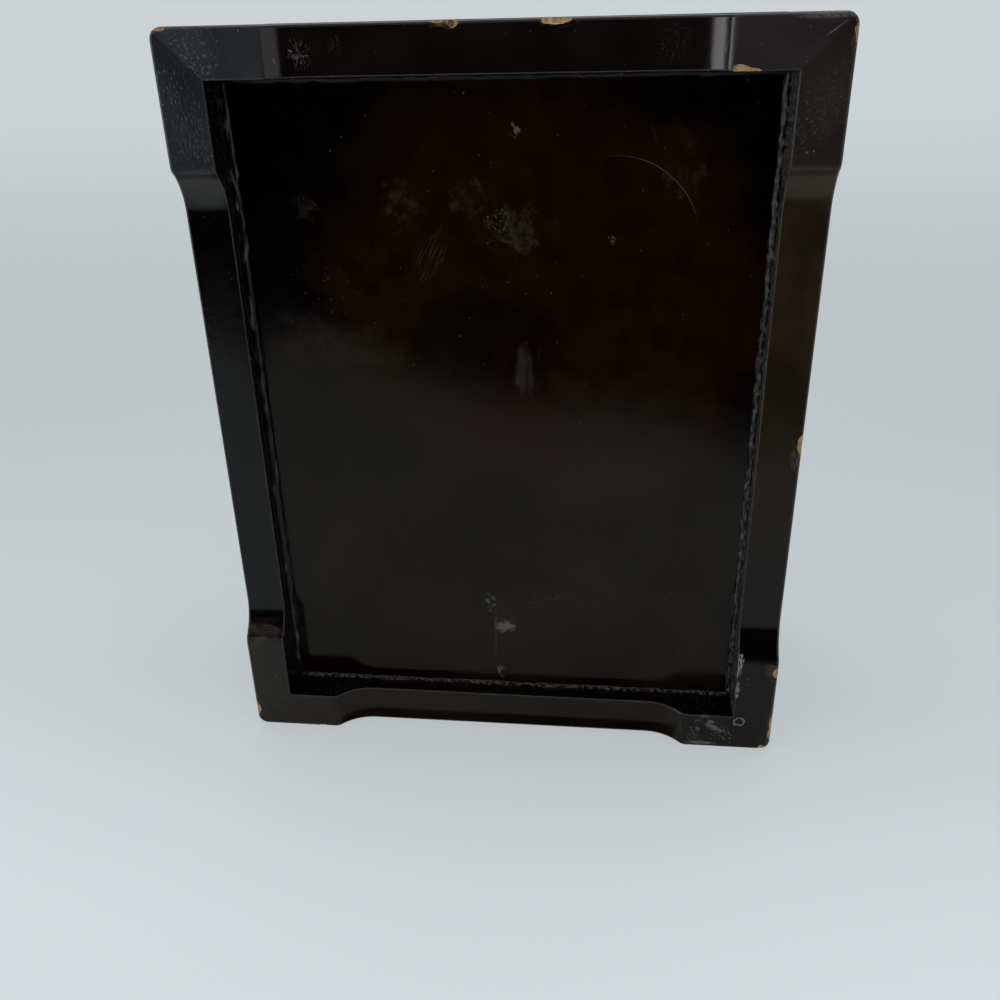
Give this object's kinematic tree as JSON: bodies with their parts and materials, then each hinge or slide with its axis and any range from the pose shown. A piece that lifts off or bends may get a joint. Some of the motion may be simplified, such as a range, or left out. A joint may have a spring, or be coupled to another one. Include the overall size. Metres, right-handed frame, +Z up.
{
  "type": "lacquer trinket box",
  "caption": "Rectangular lacquered wood box on a bracket base with cut-away edges, with a recessed underside and a back-hinged lid that stops past upright.",
  "frame": {"origin": "on the floor plane under the middle of the box, which stands on its four feet", "axes": "+X along the long side, +Y to the back where the hinges are, +Z up to the lid"},
  "size_m": [0.19, 0.151, 0.076],
  "materials": {
    "base_lacquer": "black-brown lacquer, semi-gloss, scratched, worn to bare wood at the edges",
    "underside_lacquer": "black-brown lacquer, glossy, with reddish depth",
    "body_lacquer": "black-brown lacquer, glossy",
    "lid_lacquer": "black-brown lacquer, glossy",
    "lining_lacquer": "vermilion lacquer, satin",
    "hinge_brass": "drawn brass, dulled by age",
    "screw_brass": "turned brass, dulled by age"
  },
  "bodies": {
    "box": {"base_rail_front": "base_lacquer", "base_rail_back": "base_lacquer", "base_rail_left": "base_lacquer", "base_rail_right": "base_lacquer", "bottom_board": "underside_lacquer", "wall_front": "body_lacquer", "wall_back": "body_lacquer", "wall_left": "body_lacquer", "wall_right": "body_lacquer", "lining_front": "lining_lacquer", "lining_back": "lining_lacquer", "lining_left": "lining_lacquer", "lining_right": "lining_lacquer", "hinge_left_body_leaf": "hinge_brass", "hinge_left_pin": "hinge_brass", "hinge_left_body_screw_left": "screw_brass", "hinge_left_body_screw_right": "screw_brass", "hinge_right_body_leaf": "hinge_brass", "hinge_right_pin": "hinge_brass", "hinge_right_body_screw_left": "screw_brass", "hinge_right_body_screw_right": "screw_brass"},
    "lid": {"lid_rail_front": "lid_lacquer", "lid_rail_back": "lid_lacquer", "lid_rail_left": "lid_lacquer", "lid_rail_right": "lid_lacquer", "lid_top": "lid_lacquer", "hinge_left_lid_leaf": "hinge_brass", "hinge_left_lid_screw_left": "screw_brass", "hinge_left_lid_screw_right": "screw_brass", "hinge_right_lid_leaf": "hinge_brass", "hinge_right_lid_screw_left": "screw_brass", "hinge_right_lid_screw_right": "screw_brass"}
  },
  "joints": [
    {"name": "lid_hinge", "type": "hinge", "parent": "box", "child": "lid", "pos_m": [0, 0.0709, 0.052], "axis": [-1, 0, 0], "range_deg": [0, 100]}
  ]
}
